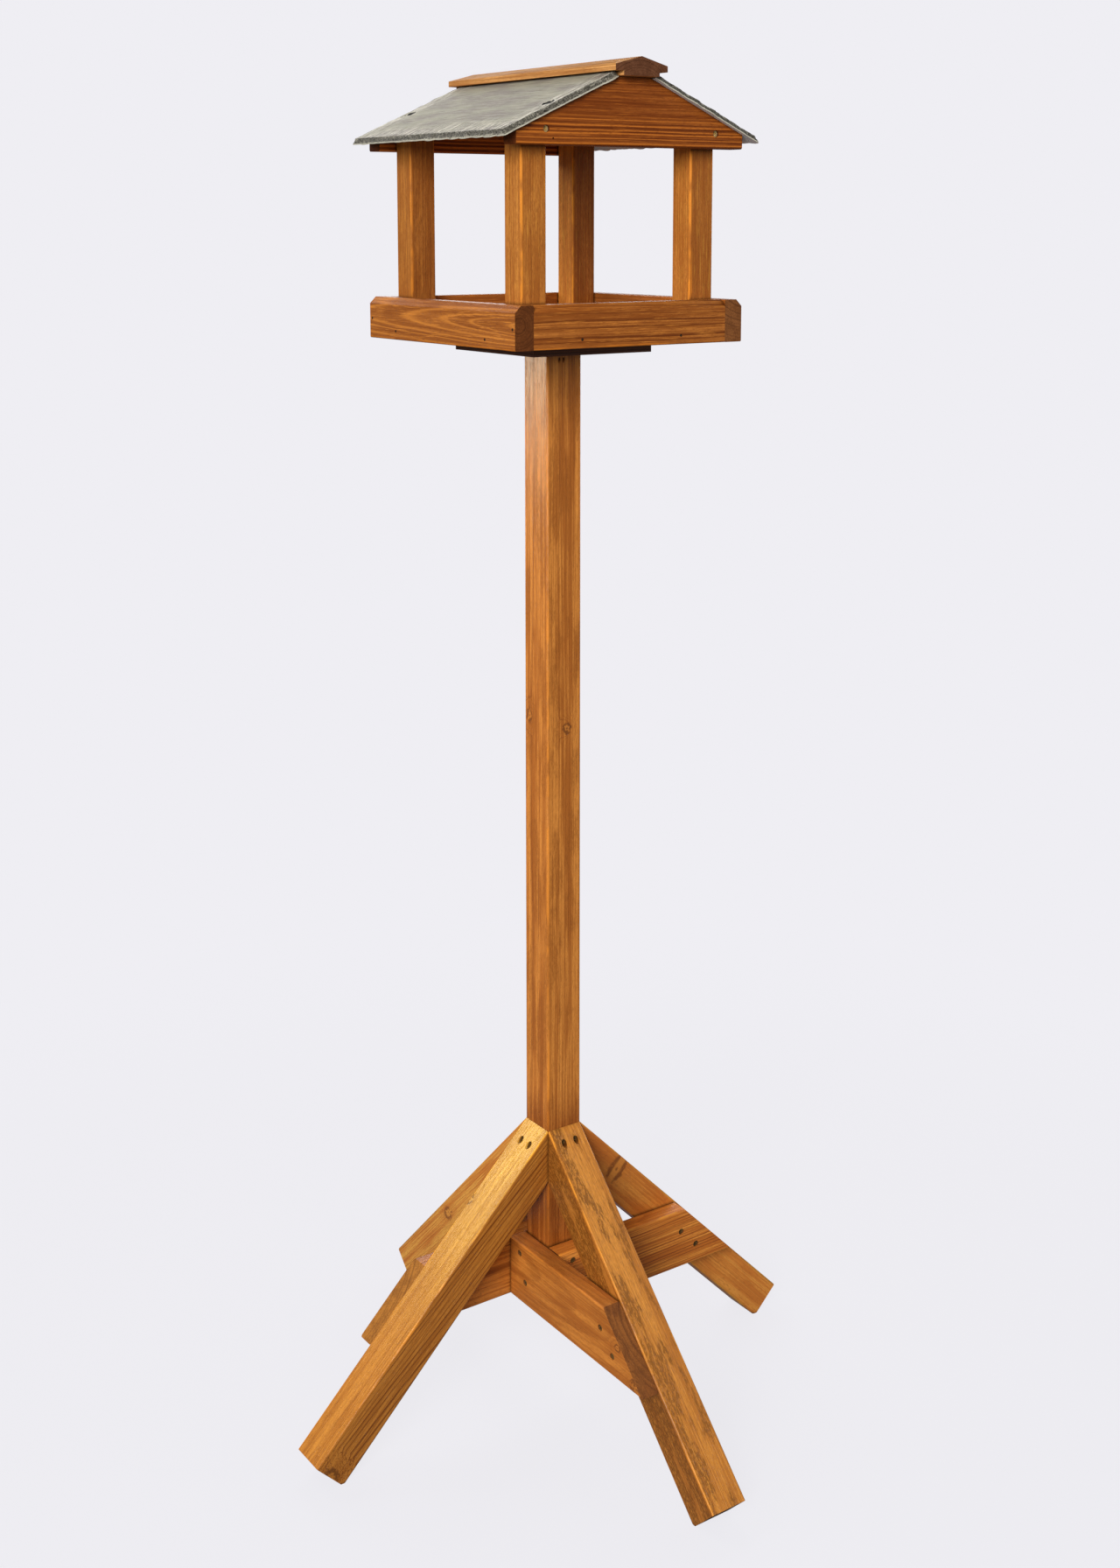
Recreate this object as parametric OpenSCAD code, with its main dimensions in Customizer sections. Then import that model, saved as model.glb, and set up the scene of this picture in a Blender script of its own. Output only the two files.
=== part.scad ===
// Bird table: an open feeding house with a slate roof, on a square pole with four braced legs.
// Z is up, and the origin lies on the ground, on the axis of the pole.
// Front is -Y, right is +X, back is +Y and left is -X. The gables face front and back.

/* [Pole] */
// Width of the square pole, and of the four legs
pole_w = 44; // [38:1:56]
// Height of the top of the pole above the ground
pole_top = 1194; // [800:1:1500]
// Rounding of the long edges of the pole, legs and posts
arris_r = 2; // [0.5:0.5:4]

/* [Legs] */
// Angle between a leg and the vertical
leg_angle = 45; // [38:1:50]
// Length of a leg along its upper edge
leg_len = 418; // [380:1:520]
// Depth of the level flat on the lowest corner of each foot
foot_flat = 3; // [1:0.5:6]

/* [Boards] */
// Thickness of the braces, rim boards and gables
board_t = 22; // [18:1:26]
// Height of a brace
brace_h = 70; // [50:1:80]
// Drop from the top of the legs to the top of the braces
brace_drop = 138; // [120:1:150]
// Distance that the slanted end of a brace stays behind the upper face of its leg
brace_setback = 2; // [0.5:0.5:6]

/* [Tray] */
// Outer width of the square tray
tray_w = 284; // [260:1:340]
// Height of the rim boards
rim_h = 44; // [36:1:60]
// Width of the chamfer on the outer top edge of the rim
rim_chamfer = 7; // [2:0.5:10]
// Thickness of the tray floor
floor_t = 18; // [12:1:20]
// Width of the square plate between pole and tray
plate_w = 150; // [120:1:200]
// Thickness of the plate between pole and tray
plate_t = 12; // [9:1:18]

/* [House] */
// Width of the square corner posts
post_w = 30; // [24:1:36]
// Clear height between the rim and the gables
opening_h = 154; // [120:1:200]
// Length of a post that stands behind its gable
post_lap = 20; // [16:1:22]
// Width of a gable
gable_w = 280; // [250:1:290]
// Height of a gable at its flat top
gable_h = 68; // [66:1:74]
// Half the width of the flat top of a gable
gable_flat = 20; // [16:1:24]

/* [Roof] */
// Slope of the roof, in degrees
roof_pitch = 24; // [18:0.5:24]
// Length of a slate along the ridge
slate_l = 300; // [290:1:340]
// Width of a slate down the slope
slate_w = 150; // [140:1:180]
// Thickness of a slate
slate_t = 6; // [4:0.5:7]
// Width of the ridge cap
cap_w = 64; // [56:1:80]
// Length of the ridge cap
cap_l = 310; // [300:1:350]
// Rise of the sloping top of the ridge cap
cap_rise = 8.5; // [4:0.5:16]
// Height of the upright sides of the ridge cap
cap_side = 6; // [3:0.5:10]

/* [Fasteners] */
// Diameter of a screw head
screw_head_d = 7; // [6:0.5:9]
// Diameter of a screw shank
screw_d = 3.6; // [3:0.1:3.8]
// Diameter of a nail head
nail_head_d = 2.8; // [2.4:0.1:4]
// Diameter of a nail shank
nail_d = 1.8; // [1.4:0.1:2.2]

/* [Hidden] */
$fn = 48;

// Turn about Z of each leg and brace; the plain modules point along +X.
FRONT = -90;
RIGHT = 0;
BACK = 90;
LEFT = 180;
SIDES = [FRONT, RIGHT, BACK, LEFT];

eps = 0.01;
far = 2000;
fit_gap = 0.1;      // clearance round a fastener
pole_h2 = pole_w / 2;

// Legs and braces
leg_top = leg_len * cos(leg_angle) + pole_w * sin(leg_angle) - foot_flat;
brace_top = leg_top - brace_drop;
brace_bottom = brace_top - brace_h;
pole_bottom = brace_bottom;
board_arris = 2.5;          // rounding of the braces and gables

// Tray
rim_arris = 1.5;
rim_bottom = pole_top + plate_t;
floor_top = rim_bottom + floor_t;
rim_top = rim_bottom + rim_h;
tray_h2 = tray_w / 2;
inner_h2 = tray_h2 - board_t;
inner_w = 2 * inner_h2;
post_c = inner_h2 - post_w / 2;

// House and roof
gable_bottom = rim_top + opening_h;
gable_top = gable_bottom + gable_h;
gable_h2 = gable_w / 2;
gable_end_h = gable_h - (gable_h2 - gable_flat) * tan(roof_pitch);
gable_y = inner_h2 + board_t / 2;
post_top = gable_bottom + post_lap;

// The tongue of the ridge cap stands on the gables, and the slates butt against it.
tongue_h2 = gable_flat + 2;
slate_gap = 0.5;
slate_start = (tongue_h2 + slate_gap - gable_flat) / cos(roof_pitch);
tongue_h = slate_t * cos(roof_pitch) - (tongue_h2 + slate_gap - gable_flat) * tan(roof_pitch) + 0.2;
cap_h2 = cap_w / 2;

// Fastener lengths and depths, and their places
leg_screw_l = 28;            // opposite screws stay clear of each other in the pole
brace_screw_l = 40;
toe_nail_l = 20;
plate_screw_l = 24;
post_screw_l = 45;
gable_screw_l = 40;
slate_screw_l = 30;
nail_l = 40;
ridge_pin_l = 40;
screw_sink = 1;             // head below the face of the wood
brace_screw_sink = 1.5;
gable_screw_sink = 2.5;
slate_screw_sink = 1;
leg_screw_sink = 5;         // where a level screw enters a sloping face
leg_screw_y = 8;            // from the middle of the leg
leg_screw_down = 21;        // down the slope from the top of the leg
leg_screw_stagger = 3;      // keeps the crossing screws apart inside the pole
brace_pole_places = [[-3, -12], [8, -43]];      // along the brace, and from its top
brace_leg_places = [[152, -26], [174, -48]];
toe_x = [-6.5, -1];
toe_drop = 9;               // below the top of the pole, where the nail enters
toe_angle = 30;
toe_sink = 3;
plate_screw_xy = plate_w / 2 - 15;
floor_nail_long = 87.5;     // from the middle of a left or right rim board
floor_nail_short = 62;      // from the middle of a front or back rim board
corner_nail_in = 4.5;       // from the end of the board
corner_nail_up = 21;        // above the bottom of the rim
gable_screw_up = 15;
slate_screw_down = 80;      // down the slope from the flat top of a gable
ridge_pin_x = 12;

// Spare pilot hole in the front gable
pilot_x = -97;
pilot_up = 6;
pilot_d = 2;
pilot_depth = 6;

wood_light = [0.78, 0.53, 0.24];
wood_mid = [0.64, 0.38, 0.16];
wood_dark = [0.52, 0.29, 0.12];
ply_brown = [0.36, 0.22, 0.12];
slate_grey = [0.55, 0.56, 0.51];
zinc_yellow = [0.75, 0.65, 0.38];
nail_grey = [0.35, 0.32, 0.28];

// ---- Shared shapes ----

// Rectangle w by h, centred, with its four corners rounded to radius r.
module eased_rect(w, h, r) {
    square([w - 2 * r, h], center = true);
    square([w, h - 2 * r], center = true);
    for (sx = [-1, 1], sy = [-1, 1])
        translate([sx * (w / 2 - r), sy * (h / 2 - r)]) circle(r);
}

// Countersunk wood screw: the top of its head is at z = 0, and it points down.
module screw(length) {
    head_rim = 0.6;
    head_h = head_rim + (screw_head_d - screw_d) / 2;
    tip_h = 1.4 * screw_d;
    slot_w = 0.2 * screw_head_d;
    slot_l = 0.6 * screw_head_d;
    slot_h = 1.6;
    difference() {
        rotate_extrude() polygon([
            [0, 0], [screw_head_d / 2, 0], [screw_head_d / 2, -head_rim],
            [screw_d / 2, -head_h], [screw_d / 2, tip_h - length], [0, -length]
        ]);
        for (turn = [0, 90])
            rotate([0, 0, turn + 30])
                translate([-slot_l / 2, -slot_w / 2, -slot_h]) cube([slot_l, slot_w, slot_h + eps]);
    }
}

// Space that a screw takes: its pilot hole, countersink and an open way of length above its head.
module screw_hole(length, above = 10) {
    head_rim = 0.6;
    head_h = head_rim + (screw_head_d - screw_d) / 2;
    head_r = screw_head_d / 2 + fit_gap;
    shank_r = screw_d / 2 + fit_gap;
    rotate_extrude() polygon([
        [0, above], [head_r, above], [head_r, -head_rim],
        [shank_r, -head_h], [shank_r, -length - fit_gap], [0, -length - fit_gap]
    ]);
}

// Round wire nail, head at z = 0, pointing down.
module nail(length) {
    rotate_extrude() polygon([
        [0, 0], [nail_head_d / 2, 0], [nail_head_d / 2, -0.7],
        [nail_d / 2, -1.2], [nail_d / 2, 2 - length], [0, -length]
    ]);
}

// Space that a nail takes, with an open way of length above its head.
module nail_hole(length, above = 5) {
    rotate_extrude() polygon([
        [0, above], [nail_head_d / 2 + fit_gap, above], [nail_head_d / 2 + fit_gap, -0.7],
        [nail_d / 2 + fit_gap, -1.2], [nail_d / 2 + fit_gap, -length - fit_gap], [0, -length - fit_gap]
    ]);
}

// Turns that make a fastener, which points down, point along -X, +Y or up.
module point_minus_x() { rotate([0, 90, 0]) children(); }
module point_plus_y() { rotate([90, 0, 0]) children(); }
module point_up() { rotate([180, 0, 0]) children(); }

// Repeats the children for all four sides.
module on_each_side() { for (side = SIDES) rotate([0, 0, side]) children(); }

// ---- Places of the fasteners ----

// Two level screws through the top of the leg that points along +X.
module at_leg_screws(side) {
    stagger = (side == LEFT || side == RIGHT) ? leg_screw_stagger : -leg_screw_stagger;
    down = leg_screw_down + stagger;
    for (sy = [-1, 1])
        translate([pole_h2 + down * sin(leg_angle) - leg_screw_sink, sy * leg_screw_y,
                   leg_top - down * cos(leg_angle)])
            point_minus_x() children();
}

// Screws through the face of the brace that lies along +X.
module at_brace_screws(places) {
    for (p = places)
        translate([p[0], -pole_h2 - board_t + brace_screw_sink, brace_top + p[1]])
            point_plus_y() children();
}

// Slanted nails from the front and back of the pole up into the plate.
module at_toe_nails() {
    for (turn = [0, 180], x = toe_x)
        rotate([0, 0, turn]) translate([x, -pole_h2, pole_top - toe_drop])
            rotate([-toe_angle, 0, 0]) point_up() translate([0, 0, -toe_sink]) children();
}

// Upright screws from below: through the plate, and through the floor into the posts.
module at_plate_screws() {
    for (sx = [-1, 1], sy = [-1, 1])
        translate([sx * plate_screw_xy, sy * plate_screw_xy, pole_top + screw_sink])
            point_up() children();
}
module at_post_screws() {
    for (sx = [-1, 1], sy = [-1, 1])
        translate([sx * post_c, sy * post_c, rim_bottom + screw_sink]) point_up() children();
}

// Nails through the left and right rim boards into the ends of the front and back boards.
module at_corner_nails() {
    for (turn = [0, 180], sy = [-1, 1])
        rotate([0, 0, turn])
            translate([tray_h2 - 0.2, sy * (tray_h2 - corner_nail_in), rim_bottom + corner_nail_up])
                point_minus_x() children();
}

// Nails through the rim board on the given side into the edge of the floor.
module at_floor_nails(side) {
    along = (side == LEFT || side == RIGHT) ? floor_nail_long : floor_nail_short;
    rotate([0, 0, side]) for (sy = [-1, 1])
        translate([tray_h2 - 0.2, sy * along, rim_bottom + floor_t / 2]) point_minus_x() children();
}

// Screws through both gables into the posts.
module at_gable_screws() {
    for (turn = [0, 180], sx = [-1, 1])
        rotate([0, 0, turn])
            translate([sx * post_c, -tray_h2 + gable_screw_sink, gable_bottom + gable_screw_up])
                point_plus_y() children();
}

// Frame of the right slope: local X runs down the slope from the flat top, local Z is square to it.
module on_slope() {
    translate([gable_flat, 0, gable_top]) rotate([0, roof_pitch, 0]) children();
}

// Screws through both slates into the sloping edges of the gables.
module at_slate_screws() {
    for (turn = [0, 180], sy = [-1, 1])
        rotate([0, 0, turn]) on_slope()
            translate([slate_screw_down, sy * gable_y, slate_t - slate_screw_sink]) children();
}

// Pins through the ridge cap into the flat tops of the gables.
module at_ridge_pins() {
    slope_top = gable_top + tongue_h + cap_side + cap_rise * (1 - ridge_pin_x / cap_h2);
    for (sx = [-1, 1], sy = [-1, 1])
        translate([sx * ridge_pin_x, sy * gable_y, slope_top - 0.5]) children();
}

// ---- Pole, legs and braces ----

module pole() {
    color(wood_mid) difference() {
        translate([0, 0, pole_bottom])
            linear_extrude(pole_top - pole_bottom) eased_rect(pole_w, pole_w, arris_r);
        for (side = SIDES) rotate([0, 0, side]) {
            at_leg_screws(side) screw_hole(leg_screw_l);
            at_brace_screws(brace_pole_places) screw_hole(brace_screw_l);
        }
        at_toe_nails() nail_hole(toe_nail_l, above = 8);
    }
}

// Frame of the leg along +X: local X runs down its upper edge, local Z is square to its upper face.
module on_leg() {
    translate([pole_h2, 0, leg_top]) rotate([0, 90 - leg_angle, 0]) children();
}

module leg_blank() {
    difference() {
        on_leg() translate([-pole_w, 0, -pole_h2]) rotate([0, 90, 0])
            linear_extrude(leg_len + pole_w) eased_rect(pole_w, pole_w, arris_r);
        translate([pole_h2 - far, -far / 2, -far / 2]) cube(far);
        translate([-far / 2, -far / 2, -far]) cube(far);
    }
}

module leg(side) {
    color(wood_light) rotate([0, 0, side]) difference() {
        leg_blank();
        at_leg_screws(side) screw_hole(leg_screw_l, above = 14);
        at_brace_screws(brace_leg_places) screw_hole(brace_screw_l);
    }
}

module leg_front() { leg(FRONT); }
module leg_right() { leg(RIGHT); }
module leg_back() { leg(BACK); }
module leg_left() { leg(LEFT); }

module brace(side) {
    reach = pole_w + leg_len;
    color(wood_mid) rotate([0, 0, side]) difference() {
        translate([-pole_h2, -pole_h2 - board_t / 2, brace_bottom + brace_h / 2])
            rotate([0, 90, 0]) linear_extrude(reach) eased_rect(brace_h, board_t, board_arris);
        on_leg() translate([-far / 2, -far / 2, -brace_setback]) cube(far);
        at_brace_screws(brace_pole_places) screw_hole(brace_screw_l);
        at_brace_screws(brace_leg_places) screw_hole(brace_screw_l);
    }
}

module brace_front() { brace(FRONT); }
module brace_right() { brace(RIGHT); }
module brace_back() { brace(BACK); }
module brace_left() { brace(LEFT); }

module leg_screws() {
    color(zinc_yellow) for (side = SIDES)
        rotate([0, 0, side]) at_leg_screws(side) screw(leg_screw_l);
}

module brace_pole_screws() {
    color(zinc_yellow) on_each_side() at_brace_screws(brace_pole_places) screw(brace_screw_l);
}

module brace_leg_screws() {
    color(zinc_yellow) on_each_side() at_brace_screws(brace_leg_places) screw(brace_screw_l);
}

// ---- Plate and tray ----

module mounting_plate() {
    color(ply_brown) difference() {
        translate([-plate_w / 2, -plate_w / 2, pole_top]) cube([plate_w, plate_w, plate_t]);
        at_toe_nails() nail_hole(toe_nail_l, above = 8);
        at_plate_screws() screw_hole(plate_screw_l);
    }
}

module pole_toe_nails() { color(nail_grey) at_toe_nails() nail(toe_nail_l); }
module plate_screws() { color(zinc_yellow) at_plate_screws() screw(plate_screw_l); }

module tray_floor() {
    color(wood_mid) difference() {
        translate([-inner_h2, -inner_h2, rim_bottom]) cube([inner_w, inner_w, floor_t]);
        at_plate_screws() screw_hole(plate_screw_l);
        at_post_screws() screw_hole(post_screw_l);
        for (side = SIDES) at_floor_nails(side) nail_hole(nail_l);
    }
}

// Rim board on the +X side, with its outer top edge chamfered.
module rim_board(length) {
    difference() {
        translate([tray_h2 - board_t / 2, length / 2, rim_bottom + rim_h / 2]) rotate([90, 0, 0])
            linear_extrude(length) eased_rect(board_t, rim_h, rim_arris);
        translate([tray_h2, 0, rim_top]) rotate([0, 45, 0])
            cube([rim_chamfer * sqrt(2), far, rim_chamfer * sqrt(2)], center = true);
    }
}

// The left and right boards run the whole depth, and the front and back boards fit between them.
module long_rim(side) {
    color(wood_mid) difference() {
        rotate([0, 0, side]) rim_board(tray_w);
        at_corner_nails() nail_hole(nail_l);
        at_floor_nails(side) nail_hole(nail_l);
    }
}

module short_rim(side) {
    color(wood_mid) difference() {
        rotate([0, 0, side]) rim_board(inner_w);
        at_corner_nails() nail_hole(nail_l);
        at_floor_nails(side) nail_hole(nail_l);
    }
}

module rim_front() { short_rim(FRONT); }
module rim_right() { long_rim(RIGHT); }
module rim_back() { short_rim(BACK); }
module rim_left() { long_rim(LEFT); }

module rim_corner_nails() { color(nail_grey) at_corner_nails() nail(nail_l); }
module rim_floor_nails() {
    color(nail_grey) for (side = SIDES) at_floor_nails(side) nail(nail_l);
}

// ---- House ----

module post(sx, sy) {
    color(wood_mid) difference() {
        translate([sx * post_c, sy * post_c, floor_top])
            linear_extrude(post_top - floor_top) eased_rect(post_w, post_w, arris_r);
        at_post_screws() screw_hole(post_screw_l);
        at_gable_screws() screw_hole(gable_screw_l);
    }
}

module post_front_left() { post(-1, -1); }
module post_front_right() { post(1, -1); }
module post_back_left() { post(-1, 1); }
module post_back_right() { post(1, 1); }
module post_screws() { color(zinc_yellow) at_post_screws() screw(post_screw_l); }

// Gable at the front or back: short upright ends, two slopes, a flat top and rounded lower edges.
module gable(sy) {
    color(wood_dark) difference() {
        intersection() {
            translate([0, sy * gable_y + board_t / 2, gable_bottom]) rotate([90, 0, 0])
                linear_extrude(board_t) polygon([
                    [-gable_h2, 0], [gable_h2, 0], [gable_h2, gable_end_h],
                    [gable_flat, gable_h], [-gable_flat, gable_h], [-gable_h2, gable_end_h]
                ]);
            translate([-gable_h2, sy * gable_y, gable_top]) rotate([0, 90, 0])
                linear_extrude(gable_w) eased_rect(2 * gable_h, board_t, board_arris);
        }
        at_gable_screws() screw_hole(gable_screw_l);
        at_slate_screws() screw_hole(slate_screw_l);
        at_ridge_pins() nail_hole(ridge_pin_l);
    }
}

module gable_front() {
    color(wood_dark) difference() {
        gable(-1);
        translate([pilot_x, -tray_h2 - eps, gable_bottom + pilot_up]) rotate([-90, 0, 0])
            cylinder(d = pilot_d, h = pilot_depth + eps);
    }
}
module gable_back() { gable(1); }
module gable_screws() { color(zinc_yellow) at_gable_screws() screw(gable_screw_l); }

// ---- Roof ----

module slate(side) {
    color(slate_grey) rotate([0, 0, side]) difference() {
        on_slope() translate([slate_start, -slate_l / 2, 0]) cube([slate_w, slate_l, slate_t]);
        at_slate_screws() screw_hole(slate_screw_l);
    }
}

module slate_left() { slate(LEFT); }
module slate_right() { slate(RIGHT); }
module slate_screws() { color(zinc_yellow) at_slate_screws() screw(slate_screw_l); }

// Cap with two shallow top slopes, upright sides, lips over the slates and a tongue between them.
module ridge_cap() {
    color(wood_mid) difference() {
        translate([0, cap_l / 2, gable_top]) rotate([90, 0, 0]) linear_extrude(cap_l) polygon([
            [-tongue_h2, 0], [tongue_h2, 0], [tongue_h2, tongue_h], [cap_h2, tongue_h],
            [cap_h2, tongue_h + cap_side], [0, tongue_h + cap_side + cap_rise],
            [-cap_h2, tongue_h + cap_side], [-cap_h2, tongue_h], [-tongue_h2, tongue_h]
        ]);
        at_ridge_pins() nail_hole(ridge_pin_l);
    }
}

module ridge_pins() { color(nail_grey) at_ridge_pins() nail(ridge_pin_l); }

pole();
leg_front();
leg_right();
leg_back();
leg_left();
brace_front();
brace_right();
brace_back();
brace_left();
leg_screws();
brace_pole_screws();
brace_leg_screws();
mounting_plate();
pole_toe_nails();
plate_screws();
tray_floor();
rim_front();
rim_right();
rim_back();
rim_left();
rim_corner_nails();
rim_floor_nails();
post_front_left();
post_front_right();
post_back_left();
post_back_right();
post_screws();
gable_front();
gable_back();
gable_screws();
slate_left();
slate_right();
slate_screws();
ridge_cap();
ridge_pins();
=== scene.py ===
import math
from types import SimpleNamespace

import bpy
from mathutils import Euler, Matrix, Vector, noise


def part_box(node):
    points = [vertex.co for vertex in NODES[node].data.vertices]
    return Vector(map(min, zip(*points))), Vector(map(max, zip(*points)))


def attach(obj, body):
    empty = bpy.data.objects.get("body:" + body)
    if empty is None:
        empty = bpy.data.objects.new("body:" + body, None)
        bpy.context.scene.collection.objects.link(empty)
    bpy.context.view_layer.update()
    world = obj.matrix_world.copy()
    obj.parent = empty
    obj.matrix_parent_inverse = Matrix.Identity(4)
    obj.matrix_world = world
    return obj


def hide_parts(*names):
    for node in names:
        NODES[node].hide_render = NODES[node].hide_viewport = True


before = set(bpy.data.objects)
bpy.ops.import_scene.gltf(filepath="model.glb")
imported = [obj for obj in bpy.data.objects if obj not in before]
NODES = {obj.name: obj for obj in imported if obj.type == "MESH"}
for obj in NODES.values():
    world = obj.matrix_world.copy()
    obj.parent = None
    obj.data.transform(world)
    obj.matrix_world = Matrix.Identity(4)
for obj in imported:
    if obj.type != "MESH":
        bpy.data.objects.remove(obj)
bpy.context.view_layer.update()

# Looks of the bird table: stained softwood sawn from solid, riven slate, and plated fasteners.
# Everything is in metres in the row frame; the textures and the slates are worked out in millimetres.

MM = 0.001

# Camera: to the left of the front, a little above the tray
CAMERA_AZIMUTH = -34.8
CAMERA_ELEVATION = 8.45
CAMERA_DISTANCE = 2.107
CAMERA_TARGET = Vector((0.0065, -0.0045, 1.024))
CAMERA_LENS = 44.77
CAMERA_SENSOR = 36
CAMERA_SHIFT = -0.176

# Backdrop and floor: linear colours, radii in metres, and how much of the floor's shading shows
PALE = (0.863, 0.855, 0.896, 1)
PAPER = (0.8, 0.79, 0.82, 1)
FLOOR_RADIUS = 1.5
FLOOR_SHADOW = 0.09
BACKDROP_RADIUS = 20

# Colours of the light: cool all round, and warm where a low light glances off the wood
COOL = (0.95, 0.97, 1, 1)
WARM = (1, 0.88, 0.66)
SKY_STRENGTH = 0.14

# Roof and legs, as the CAD model has them
ROOF_PITCH = math.radians(24)
SLATE_THICKNESS = 6 * MM
LEG_ANGLE = math.radians(45)
SIDES = {"front": -90, "right": 0, "back": 90, "left": 180}


# ---- Shader nodes ----

class Painter:
    """Adds shader nodes to a tree. Most calls return the socket that holds their result."""

    def __init__(self, tree):
        self.tree = tree

    def feed(self, socket, value):
        if isinstance(value, bpy.types.NodeSocket):
            self.tree.links.new(value, socket)
        else:
            socket.default_value = value

    def node(self, kind, inputs=(), **settings):
        made = self.tree.nodes.new(kind)
        for name, value in settings.items():
            setattr(made, name, value)
        for key, value in dict(inputs).items():
            self.feed(made.inputs[key], value)
        return made

    def math(self, operation, *values):
        made = self.node("ShaderNodeMath", enumerate(values), operation=operation)
        return made.outputs[0]

    def vector(self, operation, *values):
        made = self.node("ShaderNodeVectorMath", enumerate(values), operation=operation)
        scalar = operation in ("DOT_PRODUCT", "LENGTH", "DISTANCE")
        return made.outputs["Value" if scalar else "Vector"]

    def split(self, vector):
        return self.node("ShaderNodeSeparateXYZ", {0: vector}).outputs

    def spread(self, value):
        """Vector that holds the value three times."""
        return self.node("ShaderNodeCombineXYZ", {0: value, 1: value, 2: value}).outputs[0]

    def noise(self, point, size, detail=2.0, roughness=0.5):
        """Smooth noise from 0 to 1, with bumps of about the given size along X, Y and Z."""
        scaled = self.vector("DIVIDE", point, size)
        inputs = {"Vector": scaled, "Scale": 1.0, "Detail": detail, "Roughness": roughness}
        return self.node("ShaderNodeTexNoise", inputs).outputs[0]

    def ramp(self, value, low, high, start=0.0, end=1.0):
        """Smooth step from start at low to end at high."""
        inputs = {0: value, 1: low, 2: high, 3: start, 4: end}
        return self.node("ShaderNodeMapRange", inputs, interpolation_type="SMOOTHSTEP").outputs[0]

    def mix(self, factor, a, b, blend="MIX"):
        made = self.node("ShaderNodeMix", data_type="RGBA", blend_type=blend)
        self.feed(made.inputs[0], factor)
        self.feed(made.inputs[6], a)
        self.feed(made.inputs[7], b)
        return made.outputs[2]

    def finish_with(self, surface):
        """Makes this shader what the material shows, in place of any before it."""
        outputs = [node for node in self.tree.nodes if node.type == "OUTPUT_MATERIAL"]
        output = outputs[0] if outputs else self.node("ShaderNodeOutputMaterial")
        self.feed(output.inputs["Surface"], surface.outputs[0])


def srgb(red, green, blue):
    """Linear colour of an 8-bit sRGB one."""
    def linear(value):
        share = value / 255
        return share / 12.92 if share <= 0.04045 else ((share + 0.055) / 1.055) ** 2.4
    return (linear(red), linear(green), linear(blue), 1)


def new_material(name, shader="ShaderNodeBsdfPrincipled", painter=Painter):
    """A material with one shader. Returns it, a painter for it, and the shader's node."""
    material = bpy.data.materials.new(name)
    material.use_nodes = True
    material.node_tree.nodes.clear()
    p = painter(material.node_tree)
    surface = p.node(shader)
    p.finish_with(surface)
    return material, p, surface


def local_point(painter, location, turn):
    """Millimetres in a piece's own frame, which has its origin at location and is turned by turn."""
    place = painter.node("ShaderNodeTexCoord").outputs["Object"]
    mapping = painter.node("ShaderNodeMapping", {"Vector": place}, vector_type="TEXTURE")
    mapping.inputs["Location"].default_value = location
    mapping.inputs["Rotation"].default_value = turn
    mapping.inputs["Scale"].default_value = (MM, MM, MM)
    return mapping.outputs[0]


def relief(painter, shader, height, depth):
    """Bump of the given depth in metres."""
    bump = painter.node("ShaderNodeBump", {"Height": height, "Distance": depth, "Strength": 1.0})
    painter.feed(shader.inputs["Normal"], bump.outputs[0])


# ---- Wood ----

# Mean colours of the stained wood
TONES = {
    "pole": srgb(210, 130, 54),
    "leg": srgb(202, 130, 50),
    "brace": srgb(191, 114, 44),
    "rim": srgb(172, 100, 40),
    "post": srgb(190, 119, 49),
    "gable": srgb(150, 78, 26),
    "cap": srgb(212, 149, 84),
}

# What each shade within a board multiplies the board's own tone by
SHADES = {
    "light": (1.25, 1.36, 1.5),
    "dark": (0.7, 0.61, 0.55),
    "deep": (0.42, 0.32, 0.3),
    "glow": (1.9, 2.2, 2.0),
    "cloud": (0.66, 0.55, 0.5),
    "olive": (0.4, 0.38, 0.32),
    # rubbed-through edges, which also stand in as a painted highlight along the arrises
    "worn_edge_highlight": (1.45, 1.4, 0.9),
    "border": (0.3, 0.26, 0.34),
    # painted shade for the screw holes and the seams
    "shade_black": (0.12, 0.1, 0.12),
}

# The usual look of a board. Each board changes what differs. Lengths are in mm.
USUAL_WOOD = {
    "lean": (0, 0),  # drift of the pith across the board for each mm along it
    "ring": 3.4,  # width of a growth ring
    "wave": 3.0,  # how far the rings wander
    "crisp": 0.6,  # share of a ring before its dark line starts
    "lines": 0.6,  # strength of the dark lines
    "side_lines": None,  # the same on the faces across local Y, where it differs
    "bright": 0.0,  # glow of the early part of each ring
    "glow_low": 0.0,  # the same in the lower part of the board only
    "dashes": 0.0,  # glowing dashes along the grain
    "flecks": 0.4,  # short dark flecks
    "mottled": 0.3,  # small blotches
    "cloudy": 0.0,  # wide brown patches
    "olive": 0.0,  # wide olive patches
    "olive_lean": 0.0,  # how much more of these there is towards one edge
    "plain": 0.0,  # how far the light and dark bands are evened out
    "shade": 1.0,  # brightness of the board, partly its tone and partly painted light and shade that make up for how it is lit
    "sides": 1.0,  # painted light and shade on the faces across local Y
    "wear": 0.6,  # worn edges, with a painted highlight along them
    "holes": 0.0,  # painted shade inside the screw holes
    "pale_to": 0,  # length of a painted highlight at the start of the board, on the faces across local Z
    "dark_below": None,  # place along the board below which shade is painted
    "gloom": 1.0,  # strength of that painted shade
    "gloss": 0.3,  # specular level of the finish
    "smooth": 0.27,  # lowest roughness of the finish
    "end_tint": (0.36, 0.34, 0.46),  # what the end grain multiplies the tone by
    "knots": (),  # place, size across the grain, and how flat it lies along it, of each knot
}

# Distance between the seeds of two boards, and the reach of the shade painted in the seams between boards
SEED_STEP = 53.7
SEAM_SHADE_REACH = 4 * MM

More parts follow.
